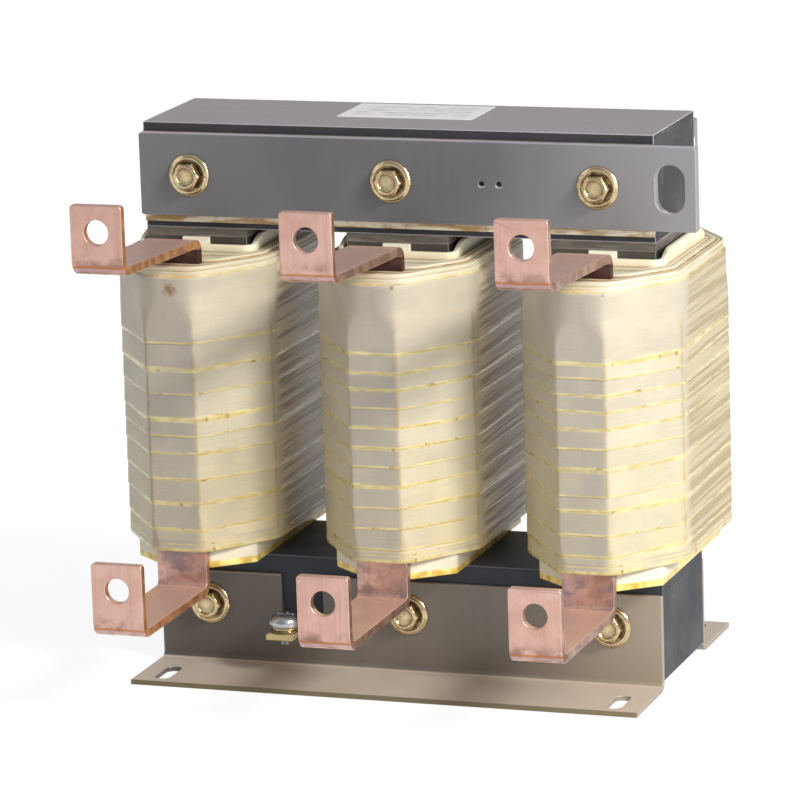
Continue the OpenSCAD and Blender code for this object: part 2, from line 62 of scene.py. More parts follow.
class Recipe:
    """Fills the node tree of a material or a node group. An input takes a value or a socket."""

    def __init__(self, name, tree=None):
        if tree is None:
            self.material = bpy.data.materials.new(name)
            self.material.use_nodes = True
            tree = self.material.node_tree
        self.tree = tree
        self.tree.nodes.clear()

    def add(self, kind, inputs=None, out=0, **settings):
        node = self.tree.nodes.new("ShaderNode" + kind)
        node.location = (200 * (len(self.tree.nodes) % 12), -220 * (len(self.tree.nodes) // 12))
        for key, value in settings.items():
            setattr(node, key, value)
        for key, value in (inputs or {}).items():
            self.join(node.inputs[key], value)
        return node.outputs[out]

    def join(self, socket, value):
        if isinstance(value, bpy.types.NodeSocket):
            self.tree.links.new(value, socket)
        elif socket.type == "RGBA" and len(value) == 3:
            socket.default_value = (*value, 1.0)
        else:
            socket.default_value = value

    def calc(self, operation, *values):
        return self.add("Math", dict(enumerate(values)), operation=operation)

    def ease(self, value, low, high, start=0.0, end=1.0):
        """Smooth step from start to end while value goes from low to high."""
        return self.add("MapRange", {0: value, 1: low, 2: high, 3: start, 4: end},
                        interpolation_type="SMOOTHSTEP")

    def mix(self, share, a, b, blend="MIX"):
        return self.add("Mix", {0: share, 6: a, 7: b}, out=2, data_type="RGBA", blend_type=blend)

    def times(self, *values):
        product = values[0]
        for value in values[1:]:
            product = self.calc("MULTIPLY", product, value)
        return product

    def ground(self, share, a, b):
        """Starts the colour that the others are laid over."""
        self.colour = self.mix(share, a, b)

    def over(self, other, *shares):
        """Lays another colour over the one so far, by the product of the shares."""
        self.colour = self.mix(self.times(*shares), self.colour, other)

    def noise(self, vector, scale, detail=2.0, rough=0.5):
        inputs = {"Vector": vector, "Scale": scale, "Detail": detail, "Roughness": rough}
        return self.add("TexNoise", inputs)

    def grain(self, vector, scales, detail=2.0):
        return self.noise(self.stretch(vector, *scales), 1.0, detail)

    def stretch(self, vector, x, y, z):
        return self.add("VectorMath", {0: vector, 1: (x, y, z)}, operation="MULTIPLY")

    def away(self, vector, point):
        return self.add("VectorMath", {0: vector, 1: point}, out=1, operation="DISTANCE")

    def split(self, vector):
        parts = self.add("SeparateXYZ", {0: vector}).node
        return parts.outputs[0], parts.outputs[1], parts.outputs[2]

    def layer(self, name):
        """The three values of a mesh's own layer, such as marks."""
        return self.split(self.add("Attribute", out="Vector", attribute_name=name))

    def place(self):
        return self.add("TexCoord", out="Object")

    def facing(self):
        """How squarely the surface faces X, Y and Z, each from 0 to 1."""
        parts = self.split(self.add("NewGeometry", out="Normal"))
        return [self.calc("ABSOLUTE", part) for part in parts]

    def wear_and_highlight(self, width):
        """1 along edges, fading to 0 at width from them; edge wear and painted highlights are laid there.
        """
        node = self.add("Group", {}, node_tree=edge_wear_and_highlight).node
        node.inputs["Width"].default_value = width
        return node.outputs["Edge"]

    def bump(self, height, distance, normal=None):
        inputs = {"Height": height, "Distance": distance, "Strength": 1.0}
        if normal is not None:
            inputs["Normal"] = normal
        return self.add("Bump", inputs)

    def finish(self, roughness, normal=None, **fixed):
        """Joins the recipe to one Principled surface; fixed values are given as Coat_Weight=0.3."""
        shader = self.add("BsdfPrincipled", {"Base Color": self.colour, "Roughness": roughness}).node
        if normal is not None:
            self.join(shader.inputs["Normal"], normal)
        for key, value in fixed.items():
            shader.inputs[key.replace("_", " ")].default_value = value
        self.show(shader.outputs[0])
        return self.material

    def show(self, surface, kind="Material"):
        output = self.tree.nodes.new("ShaderNodeOutput" + kind)
        self.tree.links.new(surface, output.inputs[0])


def edge_group():
    """Node group that finds edges: it compares the normal with one rounded over Width."""
    tree = bpy.data.node_groups.new("worn edge", "ShaderNodeTree")
    tree.interface.new_socket(name="Width", in_out="INPUT", socket_type="NodeSocketFloat")
    tree.interface.new_socket(name="Edge", in_out="OUTPUT", socket_type="NodeSocketFloat")
    edge = Recipe("worn edge", tree)
    given = tree.nodes.new("NodeGroupInput")
    result = tree.nodes.new("NodeGroupOutput")
    rounded = edge.add("Bevel", {"Radius": given.outputs[0]}, samples=6)
    plain = edge.add("NewGeometry", out="Normal")
    agree = edge.add("VectorMath", {0: rounded, 1: plain}, out=1, operation="DOT_PRODUCT")
    tree.links.new(edge.ease(agree, 0.995, 0.85), result.inputs[0])
    return tree


def varnish(name, dark, light, bare_and_highlight, top):
    """Varnish over sheet edges: fine lines of uneven tone on the top and the ends, clouds between
    dark and light on the front, its top colour on upward faces, which on the top yoke is painted
    light, ends made near black by painted shade, and bare edges with a painted highlight."""
    core = Recipe(name)
    place = core.place()
    y = core.split(place)[1]
    sheet = core.calc("FLOOR", core.calc("DIVIDE", y, SHEET))
    tone = core.add("TexWhiteNoise", {"W": sheet}, noise_dimensions="1D")
    packs = core.grain(place, (7, 420, 7))
    lines = core.calc("MULTIPLY_ADD", tone, 0.35, core.times(packs, 0.65))
    front = core.ease(core.facing()[1], 0.5, 0.8)
    clouds = core.noise(place, 26.0, 5.0, 0.6)
    amount = core.calc("ADD", core.times(clouds, 0.6), core.times(lines, core.ease(front, 0, 1, 0.5, 0.05)))
    core.ground(core.ease(amount, 0.25, 0.85), dark, light)
    # Painted light: upward faces take the top colour, which is far lighter than the front on the top yoke.
    core.over(top, core.ease(core.facing()[2], 0.8, 0.95), 0.8)
    # Painted shade: faces that face X are made near black.
    core.over(SHADED_END, core.ease(core.facing()[0], 0.8, 0.95), 0.75)
    scuffs = core.ease(core.grain(place, (30, 160, 160), 3.0), 0.62, 0.75)
    core.over(bare_and_highlight, scuffs, 0.07)
    # Edges take the bare colour: varnish worn through, and a painted highlight.
    core.over(bare_and_highlight, core.wear_and_highlight(0.9 * MM), 0.85)
    grooves = core.times(lines, core.calc("SUBTRACT", 1.0, front))
    rough = core.ease(clouds, 0.3, 0.7, 0.36, 0.52)
    normal = core.bump(core.calc("ADD", grooves, core.times(clouds, 0.4)), 0.12 * MM)
    return core.finish(rough, normal, Specular_IOR_Level=0.22)


def paint(material, *nodes):
    """Gives CAD nodes that keep their shape their finish."""
    for node in nodes:
        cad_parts[node].material_slots[0].material = material


edge_wear_and_highlight = edge_group()
# The top yoke's top colour is painted light, and its bright bare colour makes a painted edge highlight.
yoke_varnish = varnish("yoke varnish", dark=(0.038, 0.039, 0.045), light=(0.070, 0.070, 0.079),
                       bare_and_highlight=(0.85, 0.80, 0.85), top=(0.40, 0.375, 0.39))
lower_varnish = varnish("lower yoke varnish", dark=(0.040, 0.045, 0.058), light=(0.075, 0.082, 0.105),
                        bare_and_highlight=(0.30, 0.31, 0.36), top=(0.085, 0.092, 0.115))
leg_varnish = varnish("leg varnish", dark=(0.07, 0.062, 0.052), light=(0.20, 0.175, 0.145),
                      bare_and_highlight=(0.42, 0.39, 0.34), top=(0.2, 0.19, 0.17))
paint(yoke_varnish, "top_yoke")
paint(lower_varnish, "bottom_yoke")
paint(leg_varnish, *["leg_" + leg for leg in LEGS])

# Gap plates: glass-epoxy board, cut to the leg's section and bonded between the leg and each yoke.
# They set the air gap. The varnish that ran over them has left them a dull tan.
board = Recipe("gap board")
layers = board.grain(board.place(), (60, 60, 1500), 3.0)
blots = board.noise(board.place(), 90.0, 4.0)
board.ground(board.ease(layers, 0.3, 0.7), (0.085, 0.080, 0.072), (0.21, 0.19, 0.16))
board.over((0.12, 0.10, 0.08), board.ease(blots, 0.5, 0.7, 0.0, 0.6))
gap_board = board.finish(0.5, board.bump(layers, 0.1 * MM))
paint(gap_board, *["%s_gap_plate_%s" % (end, leg) for end in ("lower", "upper") for leg in LEGS])

# Coil formers: tubes of resin-soaked glass board with rounded corners, slid over the legs. Their
# tops rise as flaps inside the core window, and an eight-sided flange at the bottom rests on the
# yoke and carries the coil.
FORMER_HALF = (35.5 * MM, 45.5 * MM)
FORMER_R = 8 * MM
FORMER_WALL = 3 * MM
FLAP_RISE = 4.5 * MM
FLAP_FLAT = 0.6
# Half width, half depth, half width of the front flat and end of the sides of the flange's rim and
# of its root inside the wall, and the height of its top face, in millimetres
FLANGE = (36.0, 76.5, 14.5, 58.5)
FLANGE_ROOT = (34.5, 44.5, 26.5, 36.5)
FLANGE_TOP = 78.0
CORE_Y = 77 * MM
ARC_STEPS, FLAT_STEPS = 6, 24


def joined(mesh, flat=0.0):
    """Joins a mesh's loose points, and its faces too where they lie within flat degrees."""
    work = bmesh.new()
    work.from_mesh(mesh)
    bmesh.ops.remove_doubles(work, verts=work.verts, dist=1e-6)
    if flat:
        bmesh.ops.dissolve_limit(work, angle_limit=math.radians(flat), verts=work.verts, edges=work.edges)
    else:
        bmesh.ops.dissolve_degenerate(work, edges=work.edges, dist=1e-7)
    work.to_mesh(mesh)
    work.free()


def shown(name, mesh, sharp):
    """Object of a smooth mesh that is sharp at edges past an angle in degrees."""
    mesh.shade_smooth()
    mesh.set_sharp_from_angle(angle=math.radians(sharp))
    piece = bpy.data.objects.new(name, mesh)
    bpy.context.scene.collection.objects.link(piece)
    return piece


def skin(name, grids, weld=False, sharp=35.0):
    """One mesh of joined grids. A grid is a dict: at holds its points, rows x columns x 3; its
    columns close into a ring, and its rows too if loop is set; map holds texture places, rows x
    (columns + 1) x 2; values holds named vectors, rows x columns x 3."""
    points, faces, maps, values = [], [], [], {}
    start = 0
    for grid in grids:
        at = grid["at"]
        index = start + np.arange(at.shape[0] * at.shape[1]).reshape(at.shape[:2])
        index = np.concatenate([index, index[:, :1]], axis=1)
        place = grid.get("map", np.zeros((*index.shape, 2)))
        if grid.get("loop"):
            index = np.concatenate([index, index[:1]])
            place = np.concatenate([place, place[:1]])
        quads, corners = [np.stack([a[:-1, :-1], a[:-1, 1:], a[1:, 1:], a[1:, :-1]], axis=2)
                          for a in (index, place)]
        quads = quads.reshape(-1, 4)
        corners = corners.reshape(-1, 4, 2)
        p = at.reshape(-1, 3)[quads - start] - at.reshape(-1, 3).mean(axis=0)
        volume = np.einsum("ij,ij->", p[:, 0], np.cross(p[:, 1], p[:, 2]) + np.cross(p[:, 2], p[:, 3]))
        if volume < 0:
            quads, corners = quads[:, ::-1], corners[:, ::-1]
        points.append(at.reshape(-1, 3))
        faces.append(quads)
        maps.append(corners)
        for key, value in grid.get("values", {}).items():
            values.setdefault(key, []).append(value.reshape(-1, 3))
        start += at.shape[0] * at.shape[1]
    mesh = bpy.data.meshes.new(name)
    mesh.from_pydata(np.concatenate(points), [], np.concatenate(faces))
    mesh.uv_layers.new(name="map").data.foreach_set("uv", np.concatenate(maps).ravel())
    for key, value in values.items():
        layer = mesh.attributes.new(key, "FLOAT_VECTOR", "POINT")
        layer.data.foreach_set("vector", np.concatenate(value).ravel())
    if weld:
        joined(mesh)
    return shown(name, mesh, sharp)


def dress(piece, material, slot, *replaced):
    """Gives a new piece its finish and lets it stand for the CAD nodes that it replaces."""
    piece.data.materials.clear()
    piece.data.materials.append(material)
    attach(piece, "root")
    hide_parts(*replaced)


def oblong(half_x, half_y, r, steps=10, run=16):
    """Ring of points and outward normals of a rectangle with rounded corners: straight runs joined
    by arcs p = centre + r (cos a, sin a)."""
    a = (np.arange(4)[:, None] + np.linspace(0, 1, steps + 1)) * math.pi / 2
    n = np.stack([np.cos(a), np.sin(a)], axis=2)
    signs = np.array([(1, 1), (-1, 1), (-1, -1), (1, -1)])[:, None]
    arc = signs * np.array([half_x - r, half_y - r]) + r * n
    share = np.linspace(0, 1, run + 1)[1:-1, None]
    flat = arc[:, -1:] + share * (np.roll(arc, -1, axis=0)[:, :1] - arc[:, -1:])
    flat_n = np.repeat(n[:, -1:], run - 1, axis=1)
    return [np.concatenate(parts, axis=1).reshape(-1, 2) for parts in ((arc, flat), (n, flat_n))]


def eight_rings(hx, hy, fx, by, radius):
    """Eight-sided rings, one per row, in millimetres from the leg's axis, with outward normals:
    straight flats joined by arcs p = centre + r (cos a, sin a). Each ring has half widths hx and hy,
    flats of half width fx at the front and the back and sides that end at by; radius holds the
    corner radii, rows x 8, from the back left corner anticlockwise."""
    corner = np.stack([np.stack(c, axis=1) for c in (
        (-fx, hy), (-hx, by), (-hx, -by), (-fx, -hy), (fx, -hy), (hx, -by), (hx, by), (fx, hy))], axis=1)
    ahead = np.roll(corner, -1, axis=1) - corner
    ahead /= np.linalg.norm(ahead, axis=2, keepdims=True)
    behind = np.roll(ahead, 1, axis=1)
    first = np.arctan2(-behind[..., 0], behind[..., 1])
    turn = np.arctan2(behind[..., 0] * ahead[..., 1] - behind[..., 1] * ahead[..., 0],
                      (behind * ahead).sum(axis=2))
    reach = radius * np.tan(turn / 2)
    n0 = np.stack([np.cos(first), np.sin(first)], axis=2)
    centre = corner - behind * reach[..., None] - n0 * radius[..., None]
    angle = first[..., None] + turn[..., None] * np.linspace(0, 1, ARC_STEPS + 1)
    arc_n = np.stack([np.cos(angle), np.sin(angle)], axis=3)
    arc = centre[:, :, None] + radius[..., None, None] * arc_n
    step = np.linspace(0, 1, FLAT_STEPS + 1)[1:-1, None]
    flat = arc[:, :, -1:] + step * (np.roll(arc[:, :, :1], -1, axis=1) - arc[:, :, -1:])
    flat_n = np.repeat(arc_n[:, :, -1:], FLAT_STEPS - 1, axis=2)
    ring = np.concatenate([arc, flat], axis=2).reshape(len(hx), -1, 2)
    normal = np.concatenate([arc_n, flat_n], axis=2).reshape(len(hx), -1, 2)
    return [np.roll(a, FLAT_STEPS // 2, axis=1) for a in (ring, normal)]


def flange_shape(x, low, top):
    """Eight-sided plate round the wall, its rows a closed section of share inwards, outward push and
    height: from the root out round the rolled rim and back in at the top, gold up to gold_top."""
    gold_top = low + 4.6
    section = [(1, 0, low), (1, 0.5, low), (0, -0.9, low), (0, -0.3, low + 0.3), (0, 0, low + 0.9),
               (0, 0, low + 3.4), (0, 0, gold_top), (0, 0, top - 0.9), (0, -0.3, top - 0.3),
               (0, -0.9, top), (1, 0.5, top), (1, 0, top)]
    inward, push, z = np.array(section).T
    hx, hy, fx, by = [a + inward * (b - a) for a, b in zip(FLANGE, FLANGE_ROOT)]
    ring, normal = eight_rings(hx, hy, fx, by, np.full((len(z), 8), 2.0) + 5 * inward[:, None])
    height = np.broadcast_to(z[:, None], ring.shape[:2])
    at = np.concatenate([ring + push[:, None, None] * normal, height[..., None]], axis=2)
    gold = np.clip((gold_top - height) / 1.2, 0, 1)
    marks = np.stack([0 * height, gold, 0 * height], axis=2)
    return {"at": at * MM + np.array([x, CORE_Y, 0]), "loop": True, "values": {"marks": marks}}


def former_shape(x, low, rim, flap):
    """Wall between two oblong rings. Its rim is at the height rim at the front and the back and at
    flap by the window, with slopes h = rim + (flap - rim) (1 + cos(pi s)) / 2 between them. Levels
    are an inset, 1 to follow the rim or 0, a height above the rim or the floor, and the cut edge."""
    outer, normals = oblong(*FORMER_HALF, FORMER_R)
    bend = FLAP_FLAT * FORMER_HALF[1]
    s = np.clip((np.abs(outer[:, 1]) - bend) / (FORMER_HALF[1] - FORMER_WALL - bend), 0, 1)
    by_window = np.abs(outer[:, 0]) > FORMER_HALF[0] - FORMER_R
    top = rim + np.where(by_window, (flap - rim) * (1 + np.cos(math.pi * s)) / 2, 0)
    soft = 0.7 * MM
    levels = [(0, 0, low, 0), (0, 0, low + 1 * MM, 0), (0, 1, -8 * MM, 0), (0, 1, -soft, 1),
              (0.3 * soft, 1, -0.3 * soft, 1), (soft, 1, 0, 1), (FORMER_WALL - soft, 1, 0, 1),
              (FORMER_WALL - 0.3 * soft, 1, -0.3 * soft, 1), (FORMER_WALL, 1, -soft, 1),
              (FORMER_WALL, 1, -8 * MM, 0), (FORMER_WALL, 0, low, 0)]
    inset, follow, height, edge = np.array(levels).T[:, :, None]
    z = follow * top + height
    ring = outer - normals * inset[..., None] + np.array([x, CORE_Y])
    marks = np.stack([edge + 0 * z, 0 * z, by_window + 0 * z], axis=2)
    return {"at": np.concatenate([ring, z[..., None]], axis=2), "loop": True, "values": {"marks": marks}}


def former_finish():
    """Cream resin board with brown spots, a pale cut edge with a painted highlight, dark olive green
    as painted shade on the window sides between the coils, and a paler flange with gold resin under
    it. marks holds the cut edge, the gold edge and the window side."""
    resin = Recipe("former resin")
    place = resin.place()
    rim, edge, window = resin.layer("marks")
    x, _, z = resin.split(place)
    cloud = resin.noise(place, 60.0, 4.0, 0.6)
    resin.ground(resin.ease(cloud, 0.3, 0.7), (0.68, 0.60, 0.39), (0.78, 0.71, 0.52))
    spots = resin.ease(resin.noise(place, 240.0), 0.66, 0.74)
    resin.over((0.36, 0.19, 0.05), spots, 0.6)
    dusty = resin.ease(resin.noise(place, 110.0, 4.0, 0.65), 0.52, 0.68)
    resin.over((0.60, 0.44, 0.17), dusty, resin.ease(window, 0, 1, 0.35, 0.75))
    # Painted shade: dark olive green on the window sides of the left and middle formers, between the coils.
    inner = resin.calc("LESS_THAN", x, LEGS["right"] + 5 * MM)
    window_shade = resin.times(window, inner, resin.calc("SUBTRACT", 1.0, rim))
    green = resin.mix(cloud, (0.045, 0.052, 0.018), (0.17, 0.185, 0.065))
    resin.over(green, window_shade, 0.92)
    # Pale cut edge, made lighter still by a painted highlight along the rim.
    resin.over((0.88, 0.82, 0.63), rim, 0.6)
    pale = resin.mix(cloud, (0.60, 0.54, 0.44), (0.86, 0.80, 0.67))
    resin.over(pale, resin.ease(z, (FLANGE_TOP + 2) * MM, (FLANGE_TOP + 1) * MM, 0.0, 0.75))
    pools = resin.ease(resin.noise(place, 150.0, 3.0), 0.35, 0.65)
    gold = resin.mix(pools, (0.62, 0.40, 0.03), (0.95, 0.78, 0.26))
    resin.over(gold, edge, resin.ease(spots, 0, 1, 0.95, 0.5))
    return resin.finish(0.42, resin.bump(cloud, 0.4 * MM), Coat_Weight=0.15)


former_resin = former_finish()
for leg, x in LEGS.items():
    low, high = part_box("coil_former_" + leg)
    wall = former_shape(x, low.z, high.z - FLAP_RISE, high.z)
    former = skin("coil_former_shape_" + leg, [wall, flange_shape(x, low.z / MM, FLANGE_TOP)])
    dress(former, former_resin, "former_board", "coil_former_" + leg)

# Windings: enamelled flat copper wire, wound on the formers in layers and hidden inside the taped
# jackets. One CAD solid stands for all the turns of a coil.
enamel = Recipe("enamelled copper")
wires = enamel.grain(enamel.place(), (20, 20, 900))
enamel.ground(wires, (0.30, 0.10, 0.04), (0.55, 0.22, 0.10))
enamel_copper = enamel.finish(0.3, enamel.bump(wires, 0.3 * MM), Metallic=0.6, Coat_Weight=0.5)
paint(enamel_copper, *["winding_" + leg for leg in LEGS])

# Coil jackets: glass tape, lapped round each winding from the bottom up and soaked with resin. The
# turns overlap, gold resin gathers along each lap and at the corners, the last turns at the top
# are a plain smooth band, and at the top a pale resin body steps in towards the former.
COIL_HALF = (46.5, 90.0)
COIL_FLAT = 14.5
BEVEL_D = 42.0
BODY_Z = (78.0, 236.0)
END_Z = 241.5
COLLAR_Z = 243.0
TIERS = (0.1, 0.45)
# Radii of the corners: on the taped faces, where the ends of the jacket swell, and by the former
CORNER_R, SOFT_R, INNER_R = 4.0, 22.0, 6.0
# Start and height of the swelling at the top and at the bottom
SOFT_TOP = (208.0, 18.0)
SOFT_LOW = (96.0, 16.0)
LAPS = {
    "left": (91.4, 106.1, 119.6, 134.7, 145.6, 154.8, 169.7, 183.4, 198.3),
    "middle": (85.8, 97.8, 110.0, 122.2, 133.0, 143.8, 155.2, 166.6, 177.4, 186.5, 197.3),
    "right": (88.5, 100.5, 114.0, 123.0, 137.4, 148.8, 159.9, 169.3, 178.6, 188.6, 196.8),
}
SIDE_R = {"left": 15.0, "middle": 13.0, "right": 4.0}
# Rows at the edge of a lap: height from the edge, outward push, resin and 1 in the turn above
LAP = ((-0.95, -0.42, 0.6, 0), (-0.5, -0.40, 0.9, 0), (-0.1, -0.18, 1, 0), (0, 0, 0.9, 1),
       (0.9, -0.02, 0.6, 1), (1.5, -0.04, 0, 1))
# Rows of the bottom edge, the shoulder, the resin body's end and the collar: height above their
# base, share of the way to the former, outward push and resin
BOTTOM = ((4, 0.985, 0, 0), (0, 0.98, 0, 0.2), (0, 0.09, 0, 0.8), (0.05, 0.02, 0, 1), (0.5, 0, -0.25, 1),
          (1.6, 0, 0, 1), (2.6, 0, 0, 0.3), (4.0, 0, -0.1, 0.1), (4.7, 0, -0.2, 0.8), (5.4, 0, -0.1, 0.1))
SHOULDER = ((-1.4, 0, -0.1, 0), (-0.5, 0, -0.25, 0.2), (-0.1, 0.015, -0.1, 0.6), (0, 0.05, 0, 0.9),
            (-0.1, 0.09, 0, 1), (0.5, TIERS[0], 0, 0.6), (1.3, TIERS[0], 0, 0), (2.5, TIERS[0], 0, 0),
            (2.75, TIERS[0], -0.35, 0.9), (3.0, TIERS[0], 0, 0))
BODY_END = ((-0.8, TIERS[0], 0, 0), (-0.2, TIERS[0] + 0.01, 0, 0), (0, TIERS[0] + 0.04, 0, 0),
            (-0.05, 0.19, 0, 0), (-0.35, 0.21, 0, 0.9), (-0.3, 0.26, 0, 0.7), (-0.05, 0.28, 0, 0),
            (-0.05, 0.36, 0, 0), (-0.2, 0.39, 0, 0.9), (-0.1, 0.43, 0, 0.9), (0.4, TIERS[1], 0, 0.6))
COLLAR = ((-0.4, TIERS[1] + 0.01, 0, 0), (0, TIERS[1] + 0.05, 0, 0), (-0.05, 0.68, 0, 0),
          (-0.3, 0.71, 0, 0.8), (-0.2, 0.76, 0, 0.6), (-0.05, 0.79, 0, 0), (0, 0.88, 0, 0.2),
          (0, 0.92, 0, 1), (0, 0.98, 0, 1), (-4, 0.985, 0, 0))
# Burnt spots in the resin: place, size and colour
STAINS = (((0.1335, -0.012, 0.2355), 3.2 * MM, (0.05, 0.03, 0.02)),
          ((-0.1185, -0.013, 0.2290), 6.0 * MM, (0.24, 0.14, 0.05)),
          ((0.0130, -0.012, 0.2350), 3.0 * MM, (0.16, 0.09, 0.04)))


def coil_rings(share, radius):
    """Rings of the coil's outline, share 0 at the jacket and 1 at the former."""
    hx, hy = [a + share * (b / MM - a) for a, b in zip(COIL_HALF, FORMER_HALF)]
    fx = COIL_FLAT + share * ((FORMER_HALF[0] - FORMER_R) / MM - COIL_FLAT)
    return eight_rings(hx, hy, fx, hy - BEVEL_D - share * (FORMER_R / MM - BEVEL_D), radius)


def coil_rows(laps):
    """Rows of one jacket from the bottom up: height, share, outward push, resin, turn and wobble."""
    z0, z1 = BODY_Z
    rows = [(z0 + z, *rest, 0, 0) for z, *rest in BOTTOM]
    below = z0 + BOTTOM[-1][0]
    for turn, lap in enumerate(laps, start=1):
        inner = np.linspace(below, lap - 1.2, max(3, int((lap - below) / 3.2)) + 1)[1:]
        rows += [(z, 0, -0.05 - 0.4 * (z - below) / (lap - below), 0.0, turn, 1) for z in inner]
        rows += [(lap + z, 0, push, resin, turn + over, 1) for z, push, resin, over in LAP]
        below = lap + LAP[-1][0]
    last = len(laps) + 2
    rows += [(z, 0, -0.1, 0, last, 0.3) for z in np.linspace(below + 2, z1 - 3, 11)]
    for base, edge in ((z1, SHOULDER), (END_Z, BODY_END), (COLLAR_Z, COLLAR)):
        rows += [(base + z, *rest, last, 0) for z, *rest in edge]
    return np.array(rows, float).T


def jacket_shape(leg, seed):
    """The taped surface: each row is a ring, pushed along its normals and waved in height by
    w = sum of a_m sin(2 pi m run / round + phase), with its own phases in each turn."""
    z, share, push, resin, turn, wobble = coil_rows(LAPS[leg])
    high = np.clip((z - SOFT_TOP[0]) / SOFT_TOP[1], 0, 1)
    low = np.clip((SOFT_LOW[0] - z) / SOFT_LOW[1], 0, 1)
    soft = np.maximum(high * high * (3 - 2 * high), 0.45 * low * low * (3 - 2 * low))
    base = np.full(8, CORNER_R)
    base[[2, 5]] = SIDE_R[leg]
    radius = base + (SOFT_R - base) * soft[:, None]
    radius += (INNER_R - radius) * share[:, None]
    ring, normal = coil_rings(share, radius)
    # Run is the way round the coil in millimetres; corners are the runs of its eight corners
    flat_ring = coil_rings(np.zeros(1), base[None])[0][0]
    steps = np.linalg.norm(np.roll(flat_ring, -1, axis=0) - flat_ring, axis=1)
    way = np.concatenate([[0], np.cumsum(steps)])
    run = way[:-1]
    corners = run[np.arange(8) * (ARC_STEPS + FLAT_STEPS) + FLAT_STEPS // 2 + ARC_STEPS // 2]
    phases = np.random.default_rng(seed).uniform(0, 2 * math.pi, (40, 4))
    waves = 2 * math.pi * np.outer([1, 2, 3, 7], run / way[-1])
    phase = phases[turn.astype(int)]
    wave = sum(a * np.sin(waves[m] + phase[:, m:m + 1]) for m, a in enumerate((0.5, 0.35, 0.25, 0.12)))
    height = z[:, None] + wobble[:, None] * wave
    out = push[:, None] - 0.06 * wobble[:, None] * (1 + np.sin(waves[3] + phase[:, 1:2]))
    at = ring + normal * out[..., None]
    points = np.concatenate([at, height[..., None]], axis=2) * MM + np.array([LEGS[leg], CORE_Y, 0])
    # Near is 1 at the corners, and side goes from 0 at a side's front end to 1 at its back end
    near = np.exp(-((run[:, None] - corners) / 1.2) ** 2).max(axis=1)
    length = corners[6] - corners[5]
    side = np.clip((run - corners[5]) / length, 0, 1) * (run < corners[6])
    side += np.clip((corners[2] - run) / length, 0, 1) * (run > corners[1])
    resin, turn, share, soft = [v[:, None] + 0 * height for v in (resin, turn, share, soft)]
    marks = np.stack([resin, near * (1 - soft), side + 0 * height], axis=2)
    laid = np.stack([turn, 0 * height + (leg != "right"), share], axis=2)
    up = np.concatenate([height, height[:, :1]], axis=1)
    places = np.stack([way + 0 * up, up], axis=2) / 100
    return {"at": points, "loop": True, "map": places, "values": {"marks": marks, "laid": laid}}


